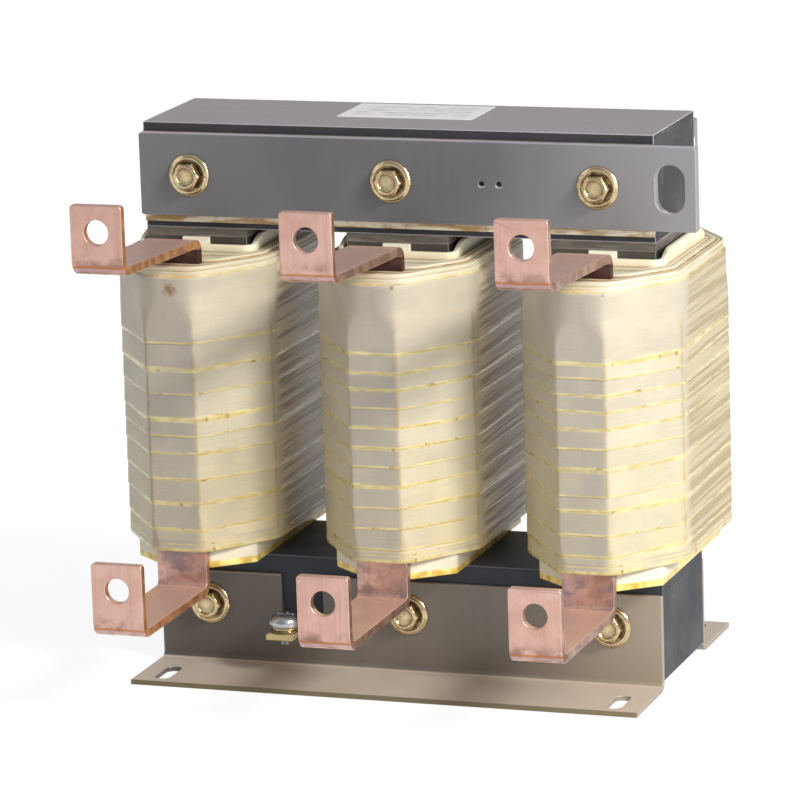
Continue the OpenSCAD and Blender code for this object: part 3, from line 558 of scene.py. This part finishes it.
def tape_finish():
    """Woven tape in resin. Its map is in tenths of a metre, run along the tape and height up; marks
    holds resin, corner and side; laid holds the turn, how shaded the sides are and the step."""
    tape = Recipe("glass tape")
    run, height, _ = tape.split(tape.add("UVMap", uv_map="map"))
    resin, corner, side = tape.layer("marks")
    turn, shaded, share = tape.layer("laid")
    place = tape.place()

    def field(along, up, detail=2.0):
        """Noise that starts anew in each turn; along the tape and up are its sizes in millimetres."""
        shift = tape.calc("MULTIPLY_ADD", tape.calc("FLOOR", turn), 7.3, tape.split(place)[0])
        sizes = {0: tape.times(run, 100 / along), 1: tape.times(height, 100 / up), 2: shift}
        return tape.noise(tape.add("CombineXYZ", sizes), 1.0, detail)

    cloud = field(40, 26, 4.0)
    patch = field(18, 60, 3.0)
    tape.ground(tape.ease(cloud, 0.32, 0.68), (0.445, 0.40, 0.315), (0.565, 0.52, 0.405))
    low = tape.ease(height, 1.75, 0.95)
    tape.over((0.66, 0.56, 0.30), low, tape.ease(patch, 0.3, 0.7, 0.2, 0.7))
    tone = tape.add("TexWhiteNoise", {"W": tape.calc("FLOOR", turn)}, noise_dimensions="1D")
    tape.over((0.42, 0.385, 0.31), tape.ease(tone, 0, 1, 0.0, 0.22))
    threads = field(26, 0.9, 3.0)
    weft = field(1.3, 30)
    weave = tape.calc("ADD", tape.times(threads, 0.7), tape.times(weft, 0.3))
    tape.over((0.47, 0.42, 0.31), tape.ease(weave, 0.42, 0.64, 0.0, 0.32))
    streak = tape.ease(field(30, 2.4, 3.0), 0.60, 0.70)
    tape.over((0.62, 0.47, 0.17), streak, 0.30)

    # Coil sides: coil 3 has tan tape with ridges. On coils 1 and 2 a painted shadow of the next coil turns
    # the side brown near the bevel, and painted light makes it pale towards the back.
    sides = tape.ease(side, 0.02, 0.16)
    ridges = tape.ease(field(170, 3.6, 3.0), 0.44, 0.60)
    tan = tape.mix(ridges, (0.50, 0.42, 0.265), (0.36, 0.275, 0.145))
    dark = tape.mix(ridges, (0.70, 0.57, 0.38), (0.30, 0.22, 0.12))
    pale = tape.mix(ridges, (0.95, 0.91, 0.86), (0.62, 0.57, 0.50))
    side_shadow_to_light = tape.mix(tape.ease(side, 0.16, 0.6), dark, pale)
    side_tone_and_shade = tape.mix(tape.times(tape.ease(side, 0.02, 0.14), shaded), tan, side_shadow_to_light)
    tape.over(side_tone_and_shade, sides, 0.9)
    # Painted shade: the front and back flats are greyer and darker than the bevels.
    front = tape.ease(tape.facing()[1], 0.85, 0.98)
    tape.over((0.36, 0.325, 0.29), front, tape.ease(patch, 0.3, 0.7, 0.4, 0.85))

    gold = tape.mix(tape.ease(field(9, 8, 3.0), 0.35, 0.65), (0.57, 0.46, 0.17), (0.74, 0.65, 0.33))
    gather = tape.ease(field(14, 90, 3.0), 0.34, 0.52, 0.35, 1.0)
    lines = tape.times(tape.ease(resin, 0.1, 0.85), gather)
    tape.over(gold, lines, 0.9)
    burnt = tape.ease(field(7, 50, 2.0), 0.62, 0.70)
    tape.over((0.20, 0.11, 0.03), lines, burnt, 0.7)
    edge = tape.times(corner, tape.ease(field(200, 16, 3.0), 0.35, 0.62, 0.10, 0.6))
    tape.over((0.33, 0.22, 0.075), edge)

    white = tape.mix(tape.ease(cloud, 0.3, 0.7), (0.60, 0.53, 0.36), (0.74, 0.68, 0.53))
    body = tape.times(tape.ease(share, 0.085, 0.1), tape.calc("SUBTRACT", 1.0, tape.times(lines, 0.85)))
    tape.over(white, body, 0.8)
    wetted = tape.times(tape.ease(share, 0.15, 0.2), tape.ease(resin, 0.3, 0.8))
    tape.over((0.30, 0.15, 0.045), wetted, tape.ease(patch, 0.3, 0.6, 0.4, 0.85))

    for spot, size, stain in STAINS:
        away = tape.away(place, spot)
        ragged = tape.calc("MULTIPLY_ADD", tape.noise(place, 330.0, 4.0, 0.7), size * 1.5, away)
        tape.over(stain, tape.ease(ragged, size * 1.55, size * 0.95, 0.0, 0.9))

    relief = tape.calc("ADD", tape.times(weave, 0.5), tape.times(ridges, sides, 1.3))
    gloss = tape.ease(lines, 0, 1, 0.52, 0.24)
    return tape.finish(gloss, tape.bump(relief, 0.45 * MM), Coat_Weight=0.12, Coat_Roughness=0.25)


glass_tape = tape_finish()
for seed, leg in enumerate(LEGS, start=11):
    jacket = skin("taped_jacket_" + leg, [jacket_shape(leg, seed)], sharp=60.0)
    dress(jacket, glass_tape, "glass_tape", "coil_jacket_" + leg)

# Leg wedges: slats of white board, driven in between each leg and its former at the front and the
# back, which hold the coil firmly on the leg.
slat = Recipe("white slat")
grain = slat.grain(slat.place(), (300, 300, 30), 3.0)
slat.ground(grain, (0.74, 0.69, 0.50), (0.88, 0.86, 0.76))
white_slat = slat.finish(0.5, slat.bump(grain, 0.2 * MM))


def eased(node, width, material, slot):
    """A copy of a CAD node with its loose faces joined and its edges rounded by width."""
    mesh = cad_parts[node].data.copy()
    mesh.attributes.remove(mesh.attributes["custom_normal"])
    joined(mesh, 0.5)
    piece = shown(node + "_eased", mesh, 180)
    bevel = piece.modifiers.new("eased edges", "BEVEL")
    bevel.width = width
    bevel.segments = 3
    bevel.limit_method = "ANGLE"
    bevel.angle_limit = math.radians(35)
    bevel.use_clamp_overlap = False
    level = piece.modifiers.new("even faces", "WEIGHTED_NORMAL")
    level.weight = 100
    dress(piece, material, slot, node)
    return piece


for leg in LEGS:
    eased("leg_wedges_" + leg, 0.3 * MM, white_slat, "gap_board")

# Terminals: bare flat copper bar, 30 by 5 mm, bent twice and bored for an M12 cable lug. The bends
# are tarnished violet and brown, and a pale band along each outer fold is a painted reflection. The
# sawn sides are brown, and orange on the two left bars.

# Y and Z of each row's inner and outer bend, and how far their tarnish reaches, in millimetres
BENDS = {"upper": ((3.5, 253.0), (-106.5, 258.5)), "lower": ((-4.5, 54.5), (-100.5, 54.5))}
TARNISH = (20.0, 11.0)
# Bands drawn along the outer bend: height from its fold, half width, strength and colour. The first,
# pale band is a painted reflection; the other two are dark red-brown bands beside it.
FOLD_BANDS = ((0.0, 1.8, 0.6, (0.62, 0.42, 0.42)), (2.3, 0.8, 0.75, (0.50, 0.19, 0.06)),
              (-2.0, 0.7, 0.8, (0.16, 0.06, 0.06)))


def copper_finish(row):
    """Drawn copper: fine lines along the bar, tarnished bends with a painted pale reflection band along
    the outer fold, sawn sides, pale edges of wear and painted highlight, and faces on top made paler
    as painted light. The lower bars are smoked where they leave the coils; the upper ones are painted
    near black at their roots as the shadow under the bar."""
    copper = Recipe(row + " bar copper")
    place = copper.place()
    x, y, z = copper.split(place)
    flat = copper.add("CombineXYZ", {0: 0.0, 1: y, 2: z})
    drawn = copper.grain(place, (700, 16, 16), 3.0)
    cloud = copper.noise(place, 70.0, 4.0, 0.6)
    copper.ground(copper.ease(cloud, 0.3, 0.7), (0.60, 0.36, 0.295), (0.72, 0.46, 0.385))
    copper.over((0.46, 0.24, 0.17), copper.ease(drawn, 0.5, 0.7, 0.0, 0.22))
    tarnish = None
    for at, size in zip(BENDS[row], TARNISH):
        away = copper.away(flat, (0, at[0] * MM, at[1] * MM))
        ring = copper.ease(away, size * MM, 0.35 * size * MM)
        tarnish = ring if tarnish is None else copper.calc("MAXIMUM", tarnish, ring)
    blot = copper.ease(copper.noise(copper.stretch(place, 1, 1, 1.4), 95.0, 5.0, 0.62), 0.40, 0.62)
    patches = copper.ease(copper.noise(place, 55.0), 0.4, 0.6)
    stain = copper.mix(patches, (0.085, 0.07, 0.08), (0.25, 0.12, 0.07))
    dirty = copper.times(tarnish, blot)
    copper.over(stain, dirty, 0.6)
    outer = BENDS[row][1]
    wobble = copper.times(copper.noise(copper.stretch(place, 1, 0, 0), 140.0, 3.0), 1.6 * MM)
    rise = copper.calc("SUBTRACT", copper.calc("SUBTRACT", z, wobble), (outer[1] - 0.8) * MM)
    fold = copper.calc("LESS_THAN", y, outer[0] * MM)
    # The first band is a painted reflection along the fold; the other two are dark red-brown bands.
    for centre, half, share, tone in FOLD_BANDS:
        band = copper.calc("COMPARE", rise, centre * MM, half * MM)
        copper.over(tone, band, fold, share)
    sawn = copper.ease(copper.facing()[0], 0.75, 0.95)
    cuts = copper.ease(copper.grain(place, (40, 160, 160), 4.0), 0.4, 0.6)
    first = copper.calc("LESS_THAN", x, -60 * MM)
    rusty = copper.mix(first, copper.mix(cuts, (0.32, 0.19, 0.135), (0.15, 0.075, 0.05)),
                       copper.mix(cuts, (0.62, 0.29, 0.09), (0.34, 0.13, 0.045)))
    copper.over(rusty, sawn, 0.85)
    # Painted light: faces on top are made paler.
    copper.over((0.95, 0.66, 0.56), copper.ease(copper.facing()[2], 0.8, 0.97, 0.0, 0.5))
    # Pale edges: wear and a painted highlight.
    copper.over((0.98, 0.74, 0.62), copper.wear_and_highlight(0.9 * MM), 0.6)
    if row == "lower":
        upright = copper.calc("GREATER_THAN", y, -8 * MM)
        smoke = copper.ease(z, 56 * MM, 60 * MM, 0.3, 0.75)
        violet = copper.mix(copper.ease(cloud, 0.42, 0.58), (0.20, 0.17, 0.20), (0.42, 0.23, 0.17))
        copper.over(violet, upright, smoke, copper.ease(blot, 0, 1, 0.45, 1.0))
    if row == "upper":
        # Painted shadow: the upright under each upper bar goes near black below 251 mm.
        upright = copper.calc("GREATER_THAN", y, -2 * MM)
        copper.over((0.035, 0.007, 0.003), upright, copper.ease(z, 251 * MM, 249 * MM, 0.0, 0.93))
    rough = copper.ease(copper.calc("ADD", drawn, dirty), 0.3, 1.2, 0.30, 0.55)
    return copper.finish(rough, copper.bump(drawn, 0.05 * MM), Metallic=0.62)


for row in BENDS:
    bar_copper = copper_finish(row)
    for leg in LEGS:
        eased("%s_terminal_%s" % (row, leg), 0.6 * MM, bar_copper, "bar_copper")

# Insulating strips: cream board between the core and each upper clamp bar. The lower edge shows
# under the bar, stained gold and brown by the resin, and the strip is darkened above 300 mm.
strip = Recipe("strip board")
place = strip.place()
spread = strip.grain(place, (26, 26, 160), 4.0)
fine = strip.noise(place, 300.0, 3.0)
strip.ground(strip.ease(spread, 0.48, 0.62), (0.86, 0.81, 0.66), (0.42, 0.27, 0.10))
strip.over((0.25, 0.17, 0.08), strip.ease(fine, 0.55, 0.7, 0.0, 0.4))
upper_edge = strip.calc("GREATER_THAN", strip.split(place)[2], 300 * MM)
strip.over((0.09, 0.085, 0.06), upper_edge, 0.85)
strip_board = strip.finish(0.5, strip.bump(fine, 0.15 * MM))
for side in ("front", "rear"):
    eased(side + "_insulating_strip", 0.3 * MM, strip_board, "strip_board")

# Upper clamp bars: flat steel, 47 by 6 mm, plated dull grey and bolted through the top yoke. The
# front bar stands out past the core and has a lifting slot there, and two small fixing holes.


def plated(name, left, dark, light, right, bare_and_highlight, up):
    """Dull zinc plating: clouds from dark to light with faint brushing; by the ends painted light and
    shade, the left end's colour lighter on the clamp bars and darker on the feet, the right end's
    lighter on both; up as a painted reflection on top faces; bare metal and a painted highlight at
    edges. The rest goes to the finish."""
    steel = Recipe(name)
    place = steel.place()
    brushed = steel.grain(place, (500, 500, 12), 3.0)
    cloud = steel.noise(steel.stretch(place, 1, 1, 0.5), 30.0, 4.0, 0.6)
    amount = steel.calc("ADD", steel.times(brushed, 0.12), steel.times(cloud, 0.88))
    steel.ground(steel.ease(amount, 0.3, 0.7), dark, light)
    x = steel.split(place)[0]
    # Painted light and shade along X: the left colour, then the right colour, stand in for the lamps'
    # fall-off.
    steel.over(left, steel.ease(x, -0.03, -0.14))
    steel.over(right, steel.ease(x, 0.03, 0.17))
    # Painted reflection: top faces take the up colour.
    steel.over(up, steel.ease(steel.facing()[2], 0.7, 0.95))
    # Edges: worn bare, with a painted highlight.
    steel.over(bare_and_highlight, steel.wear_and_highlight(1.0 * MM), 0.9)
    speck = steel.ease(steel.noise(place, 700.0), 0.68, 0.76)
    steel.over(bare_and_highlight, speck, 0.03)
    rest = {"roughness": steel.ease(cloud, 0.3, 0.7, 0.40, 0.52),
            "normal": steel.bump(amount, 0.04 * MM), "Metallic": 0.35}
    return steel, rest


# left, right and up are painted light and shade; the bare colour also makes the painted edge highlight.
steel, rest = plated("clamp steel", left=(0.175, 0.175, 0.183), dark=(0.125, 0.125, 0.133),
                     light=(0.150, 0.150, 0.158), right=(0.29, 0.285, 0.295),
                     bare_and_highlight=(0.78, 0.75, 0.80), up=(0.55, 0.52, 0.57))
clamp_steel = steel.finish(**rest)
for side in ("front", "rear"):
    eased(side + "_clamp_bar", 0.7 * MM, clamp_steel, "clamp_steel")

# Clamp bolts: six M8 hexagon bolts with flat washers and nuts, yellow passivated. Three go through
# the clamp bars and the top yoke, three through the feet and the bottom yoke.

# Across flats, thread, heights of head and nut, and diameter and thickness of the washers
BOLT = {"af": 14.0, "thread": 8.0, "head": 5.3, "nut": 6.5, "washer": 24.0, "plate": 2.0}
# Depth and pitch of the bolts' thread
BOLT_SCREW = (0.35, 1.25)


def turned(rows, centre, axis, steps=72, hexagon=None, screw=None):
    """Points of a turned form. Rows are radius, height along the axis and maybe a share of grime and
    painted shade, which goes into marks. A hexagon of width w cuts each radius to r = min(radius,
    w / 2 / cos(a)), and a screw of a depth and pitch makes it r = radius - depth |2 fract(h / pitch + turn)
    - 1|."""
    rows = np.array([(*row, 0)[:3] for row in rows], float) * (MM, MM, 1)
    a = np.linspace(0, 2 * math.pi, steps, endpoint=False)
    r = np.broadcast_to(rows[:, :1], (len(rows), steps)).copy()
    if hexagon:
        inside = a % (math.pi / 3) - math.pi / 6
        r = np.minimum(r, hexagon / 2 * MM / np.cos(inside))
    if screw:
        depth, pitch = screw
        phase = (rows[:, 1:2] / (pitch * MM) + a / (2 * math.pi)) % 1.0
        r = r - depth * MM * np.abs(2 * phase - 1) * (r > depth * MM)
    u, v, w = r * np.cos(a), r * np.sin(a), np.broadcast_to(rows[:, 1:2], r.shape)
    x, y, z = {"front": (u, -w, v), "back": (u, w, v), "up": (u, v, w)}[axis]
    marks = np.broadcast_to(rows[:, None, 2:] * (1, 0, 0), (*r.shape, 3))
    return {"at": np.stack([x, y, z], axis=2) + np.array(centre), "values": {"marks": marks}}


def rim(inner, outer, low, high, soft):
    """Closed profile of a pressed ring: its edges are rolled, the outer one widely, and a share of grime
    and painted shade sits round the bore and under the rim."""
    return [(inner, low + soft), (inner + soft, low), (outer - soft, low, 0.8),
            (outer - 0.3 * soft, low + 0.3 * soft, 0.8), (outer, low + soft, 0.9),
            (outer, high - 2.6 * soft, 0.8), (outer - 0.5 * soft, high - 2.0 * soft),
            (outer - 2 * soft, high - 1.1 * soft), (outer - 4.5 * soft, high - 0.3 * soft),
            (0.74 * outer + 0.26 * inner, high), (0.64 * outer + 0.36 * inner, high, 0.9),
            (inner + soft, high, 1.0), (inner + 0.3 * soft, high - 0.3 * soft, 1.0),
            (inner, high - soft, 1.0)]


def head_profile():
    """Bolt head from its seat to its dished end, with the chamfer that cuts the hexagon's corners."""
    h, cone = BOLT["head"], BOLT["af"] / 2
    across = cone / math.cos(math.pi / 6)
    side = across + 0.3
    # Third values are shares of grime and painted shade: at the seat, on the chamfer and in the dish.
    return [(0, 0), (cone - 0.4, 0, 1), (side, 0.25, 1), (side, 1.0, 0.4), (side, h - 1.9),
            (side, h - 1.5, 0.5), (across - 0.1, h - 1.05, 0.5), (cone + 0.25, h - 0.55),
            (cone - 0.35, h - 0.18), (cone - 0.9, h), (cone - 1.5, h - 0.02), (cone - 1.9, h - 0.25, 0.5),
            (cone - 2.3, h - 0.7, 0.7), (2.4, h - 0.85, 0.2), (1.2, h - 0.8), (0, h - 0.75)]


def nut_profile():
    """Closed profile of a nut, with its countersunk bore and the chamfers at both ends."""
    h, bore = BOLT["nut"], BOLT["thread"] / 2 + 0.05
    across = BOLT["af"] / 2 / math.cos(math.pi / 6)
    return [(bore, 0.4), (4.5, 0), (6.6, 0), (across, 0.8), (across, h - 0.8), (6.6, h), (4.6, h),
            (bore, h - 0.5)]


def tail_rows(end):
    """Closely spaced rows of a threaded end with a chamfered tip."""
    r = BOLT["thread"] / 2
    body = [(r, h) for h in np.arange(0, end - 0.8, BOLT_SCREW[1] / 8)]
    return [(0, 0)] + body + [(r - 0.35, end - 0.4), (r - 0.9, end), (0, end)]


def zinc_finish(name, base, pink, green, grime_and_shade, rough):
    """Passivated zinc: tinges of two tones over the base, edges brighter with wear and a painted
    highlight, and a dark colour in grime and where marks calls for grime and painted shade."""
    zinc = Recipe(name)
    place = zinc.place()
    tint = zinc.noise(place, 260.0, 3.0)
    other = zinc.noise(zinc.stretch(place, -1, 1, 1), 190.0, 3.0)
    zinc.ground(zinc.ease(tint, 0.48, 0.66, 0.0, 0.75), base, pink)
    zinc.over(green, zinc.ease(other, 0.52, 0.66, 0.0, 0.7))
    grime = zinc.ease(zinc.noise(place, 420.0, 4.0), 0.56, 0.68)
    grime_and_shade_share = zinc.times(zinc.layer("marks")[0], zinc.ease(tint, 0.3, 0.6, 0.6, 1.0))
    # Random grime, and grime with painted shade where marks says so: round heads, in bores and under rims.
    zinc.over(grime_and_shade, zinc.calc("MAXIMUM", zinc.times(grime, 0.4), grime_and_shade_share))
    # Edges brighter: wear and a painted highlight.
    zinc.over((1.0, 0.93, 0.72), zinc.wear_and_highlight(0.4 * MM), 0.5)
    gloss = zinc.ease(grime, 0, 1, rough, rough + 0.2)
    return zinc.finish(gloss, zinc.bump(tint, 0.05 * MM), Metallic=0.9)


yellow_zinc = zinc_finish("yellow zinc", base=(0.64, 0.51, 0.28), pink=(0.66, 0.46, 0.35),
                          green=(0.40, 0.41, 0.20), grime_and_shade=(0.075, 0.035, 0.012), rough=0.2)
for row in ("upper", "lower"):
    low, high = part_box(row + "_clamp_bolts")
    z = (low.z + high.z) / 2
    seat = low.y + BOLT["head"] * MM
    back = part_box(row + "_clamp_nuts")[0].y
    grip, radius, plate = (back - seat) / MM, BOLT["thread"] / 2, BOLT["plate"]
    heads, washers, nuts = [], [], []
    for x in LEGS.values():
        heads.append(turned(head_profile(), (x, seat, z), "front", hexagon=BOLT["af"]))
        heads.append(turned([(0, 0), (radius, 0), (radius, grip), (0, grip)], (x, seat, z), "back", 32))
        heads.append(turned(tail_rows((high.y - back) / MM), (x, back, z), "back", 32, screw=BOLT_SCREW))
        for y, way in ((seat + plate * MM, "front"), (back - plate * MM, "back")):
            ring = turned(rim(radius + 0.2, BOLT["washer"] / 2, 0, plate, 0.5), (x, y, z), way)
            washers.append(dict(ring, loop=True))
        nuts.append(dict(turned(nut_profile(), (x, back, z), "back", hexagon=BOLT["af"]), loop=True))
    for kind, grids, weld in (("bolts", heads, True), ("washers", washers, False), ("nuts", nuts, False)):
        name = "%s_clamp_%s" % (row, kind)
        dress(skin(name + "_turned", grids, weld, 28.0), yellow_zinc, "yellow_zinc", name)

# Feet: steel sheet, 3 mm thick, cut, slotted and bent outwards, with a dull olive-grey plating and
# a brown cut edge. The front foot is notched left of the middle bars, and its tab is bent forward
# for the earth screw and plated yellow.
# Left end darker and right end lighter as painted shade and light; up is a painted reflection.
steel, rest = plated("foot steel", left=(0.110, 0.095, 0.085), dark=(0.165, 0.145, 0.125),
                     light=(0.200, 0.178, 0.152), right=(0.38, 0.32, 0.25),
                     bare_and_highlight=(0.80, 0.72, 0.66), up=(0.68, 0.59, 0.51))
_, y, z = steel.split(steel.place())
front_edge = steel.calc("LESS_THAN", y, -17.7 * MM)
steel.over((0.17, 0.135, 0.06), front_edge, 0.75)
high_up = steel.calc("GREATER_THAN", z, 23.5 * MM)
tab = steel.times(high_up, steel.calc("LESS_THAN", y, 27 * MM))
steel.over((0.62, 0.50, 0.25), tab, 0.85)
foot_steel = steel.finish(**rest)
for side in ("front", "rear"):
    eased(side + "_foot", 0.45 * MM, foot_steel, "foot_steel")

# Earth terminal: a bright pan-head screw with a cross recess, over a spring washer and a flat one,
# screwed down through the tapped tab of the front foot.
SCREW_AT = (-68 * MM, 17 * MM)
HEAD_R, HEAD_H = 9.5, 6.5
# Depth and pitch of its thread
EARTH_SCREW = (0.3, 1.0)


def pan_head(z):
    """Dome of the head with a cross recess sunk into it: depth d = 2.6 / (1 + (s / 0.95) ** 8), where
    s is the distance from the nearer arm's middle line, kept within the arms' length."""
    dome = [(HEAD_R * (0.5 + 0.5 * math.cos(g)), HEAD_H * (0.32 + 0.68 * math.sin(g)))
            for g in np.linspace(0, math.pi / 2, 14)]
    middle = [(r, HEAD_H) for r in np.linspace(HEAD_R / 2, 0, 15)[1:]]
    rows = [(0, 0), (HEAD_R - 0.4, 0), (HEAD_R, 0.5)] + dome + middle
    head = turned(rows, (0, 0, 0), "up", 128)
    at = head["at"] / MM
    arm = np.minimum(np.abs(at[..., 0]), np.abs(at[..., 1]))
    far = np.hypot(at[..., 0], at[..., 1])
    sunk = 2.6 / (1 + (arm / 0.95) ** 8) / (1 + (far / 4.6) ** 12) * (at[..., 2] > HEAD_H * 0.5)
    at[..., 2] -= sunk
    head["at"] = at * MM + np.array([*SCREW_AT, z])
    return head


bright_zinc = zinc_finish("bright zinc", base=(0.46, 0.47, 0.51), pink=(0.36, 0.38, 0.43),
                          green=(0.56, 0.56, 0.55), grime_and_shade=(0.05, 0.05, 0.05), rough=0.27)
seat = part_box("earth_spring_washer")[1].z
end = (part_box("earth_screw")[0].z - seat) / MM
thread = [(3, h) for h in np.arange(end + 0.7, 0, EARTH_SCREW[1] / 8)]
shank = [(0, end), (2.2, end), *thread, (3, 0), (0, 0)]
screw = [pan_head(seat), turned(shank, (*SCREW_AT, seat), "up", 40, screw=EARTH_SCREW)]
dress(skin("earth_screw_turned", screw, True, 40.0), bright_zinc, "bright_zinc", "earth_screw")
plate = turned(rim(3.2, 8.5, 0, 1.8, 0.3), (*SCREW_AT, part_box("earth_flat_washer")[0].z), "up")
flat = skin("earth_flat_washer_turned", [dict(plate, loop=True)])
dress(flat, yellow_zinc, "yellow_zinc", "earth_flat_washer")


def spring_washer(z):
    """Open ring, its ends sprung apart in height: h = rise (a / 2 pi - 1/2) round the turn."""
    section = np.array([row[:2] for row in rim(3.2, 7.6, 0, 1.5, 0.25)])
    a = np.linspace(0.10, 2 * math.pi - 0.10, 64)[:, None] + math.pi
    r, h = section[:, 0], section[:, 1] + 0.15
    lift = 0.14 * ((a - math.pi) / (2 * math.pi) - 0.5)
    at = np.stack([r * np.cos(a), r * np.sin(a), h + lift], axis=2)
    middle = np.repeat(at.mean(axis=1, keepdims=True), at.shape[1], axis=1)
    at = np.concatenate([middle[:1], at, middle[-1:]])
    return {"at": at * MM + np.array([*SCREW_AT, z])}


spring = skin("earth_spring_washer_turned", [spring_washer(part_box("earth_spring_washer")[0].z)], True)
dress(spring, yellow_zinc, "yellow_zinc", "earth_spring_washer")

# Label: a blank white film stuck on the top yoke, with plain grey ruled lines broken by gaps, which
# spell nothing.
film = Recipe("label film")
x, y, _ = film.split(film.place())
low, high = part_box("blank_label")
across = film.calc("DIVIDE", film.calc("SUBTRACT", x, low.x), high.x - low.x)
down = film.calc("DIVIDE", film.calc("SUBTRACT", y, low.y), high.y - low.y)
inside = film.times(film.calc("COMPARE", across, 0.5, 0.42), film.calc("COMPARE", down, 0.5, 0.38))
rule = film.calc("COMPARE", film.calc("FRACT", film.times(down, 7.0)), 0.5, 0.17)
gaps = film.calc("GREATER_THAN", film.grain(film.place(), (90, 260, 0), 1.0), 0.46)
ink = film.times(inside, rule, film.times(gaps, 0.6))
film.ground(ink, (0.93, 0.93, 0.93), (0.30, 0.31, 0.33))
label_film = film.finish(0.35, Coat_Weight=0.3)
paint(label_film, "blank_label")

# Floor: a pale sheet that takes the soft shadow. What the camera and the metals see of it is lifted
# to white, while the light that it throws on the coils stays that of a plain pale floor.
bpy.ops.mesh.primitive_plane_add(size=16, location=(0, 0, -0.2 * MM))
floor = bpy.context.object
floor.name = "floor"
pale = Recipe("pale floor")
path = pale.add("LightPath").node
seen = pale.calc("MAXIMUM", path.outputs["Is Camera Ray"],
                 pale.calc("MAXIMUM", path.outputs["Is Glossy Ray"], path.outputs["Is Transmission Ray"]))
bounce = pale.add("BsdfDiffuse", {"Color": (0.80, 0.80, 0.79)})
matte = pale.add("BsdfDiffuse", {"Color": (0.20, 0.20, 0.20)})
glow = pale.add("Emission", {"Color": (1.0, 1.0, 1.0), "Strength": 0.87})
lifted = pale.add("AddShader", {0: matte, 1: glow})
pale.show(pale.add("MixShader", {0: seen, 1: bounce, 2: lifted}))
floor.data.materials.append(pale.material)

# Light: a large warm key from the right, a weaker soft light from the left, a soft box close to the
# right end for the glow on the clamp bar, and a cool fill all round that is brighter on the right.
scene = bpy.context.scene
scene.view_settings.view_transform = "Standard"


def towards(azimuth, elevation):
    """Unit vector from the object to a place at an azimuth, from the front towards +X."""
    a, e = math.radians(azimuth), math.radians(elevation)
    return Vector((math.sin(a) * math.cos(e), -math.cos(a) * math.cos(e), math.sin(e)))


def hang(name, kind, energy, colour, aim):
    """Adds a lamp that shines on the object from towards(*aim)."""
    lamp = bpy.data.objects.new(name, bpy.data.lights.new(name, kind))
    lamp.data.energy = energy
    lamp.data.color = colour
    lamp.rotation_mode = "QUATERNION"
    lamp.rotation_quaternion = towards(*aim).to_track_quat("Z", "Y")
    scene.collection.objects.link(lamp)
    return lamp


hang("key", "SUN", 2.6, (1.0, 0.965, 0.90), (66, 33)).data.angle = math.radians(12)
hang("left light", "SUN", 0.35, (0.97, 0.98, 1.0), (-62, 24)).data.angle = math.radians(40)
box = hang("soft box", "AREA", 1.7, (1.0, 0.98, 0.96), (42, 12))
box.data.size = 0.3
box.location = Vector((0.17, 0.03, 0.30)) + 0.5 * towards(42, 12)
world = bpy.data.worlds.new("studio")
scene.world = world
world.use_nodes = True
room = Recipe("studio", world.node_tree)
ahead = room.add("TexCoord", out="Generated")
lift = room.add("VectorMath", {0: ahead, 1: towards(75, 25)}, out=1, operation="DOT_PRODUCT")
overhead = room.ease(room.split(ahead)[2], 0.5, 0.95, 0.0, 0.12)
bright = room.calc("ADD", room.ease(lift, 0.25, 0.85, 0.27, 0.62), overhead)
room.show(room.add("Background", {"Color": (0.94, 0.96, 1.0), "Strength": bright}), "World")

# Camera: 2.8 m away, a little above and to the right of the front, with the slight roll of the
# photograph and a long lens.
DISTANCE, LENS = 2.8, 224.2
AIM = Vector((-0.0015, 0.037, 0.1601))
back = towards(19.53, 12.89)
roll = Quaternion((0, 0, 1), math.radians(-1.89))
camera = bpy.data.objects.new("camera", bpy.data.cameras.new("camera"))
camera.data.lens = LENS
camera.data.sensor_width = 36
camera.data.clip_end = 50
camera.rotation_mode = "QUATERNION"
camera.rotation_quaternion = back.to_track_quat("Z", "Y") @ roll
camera.location = AIM + DISTANCE * back
scene.collection.objects.link(camera)
scene.camera = camera
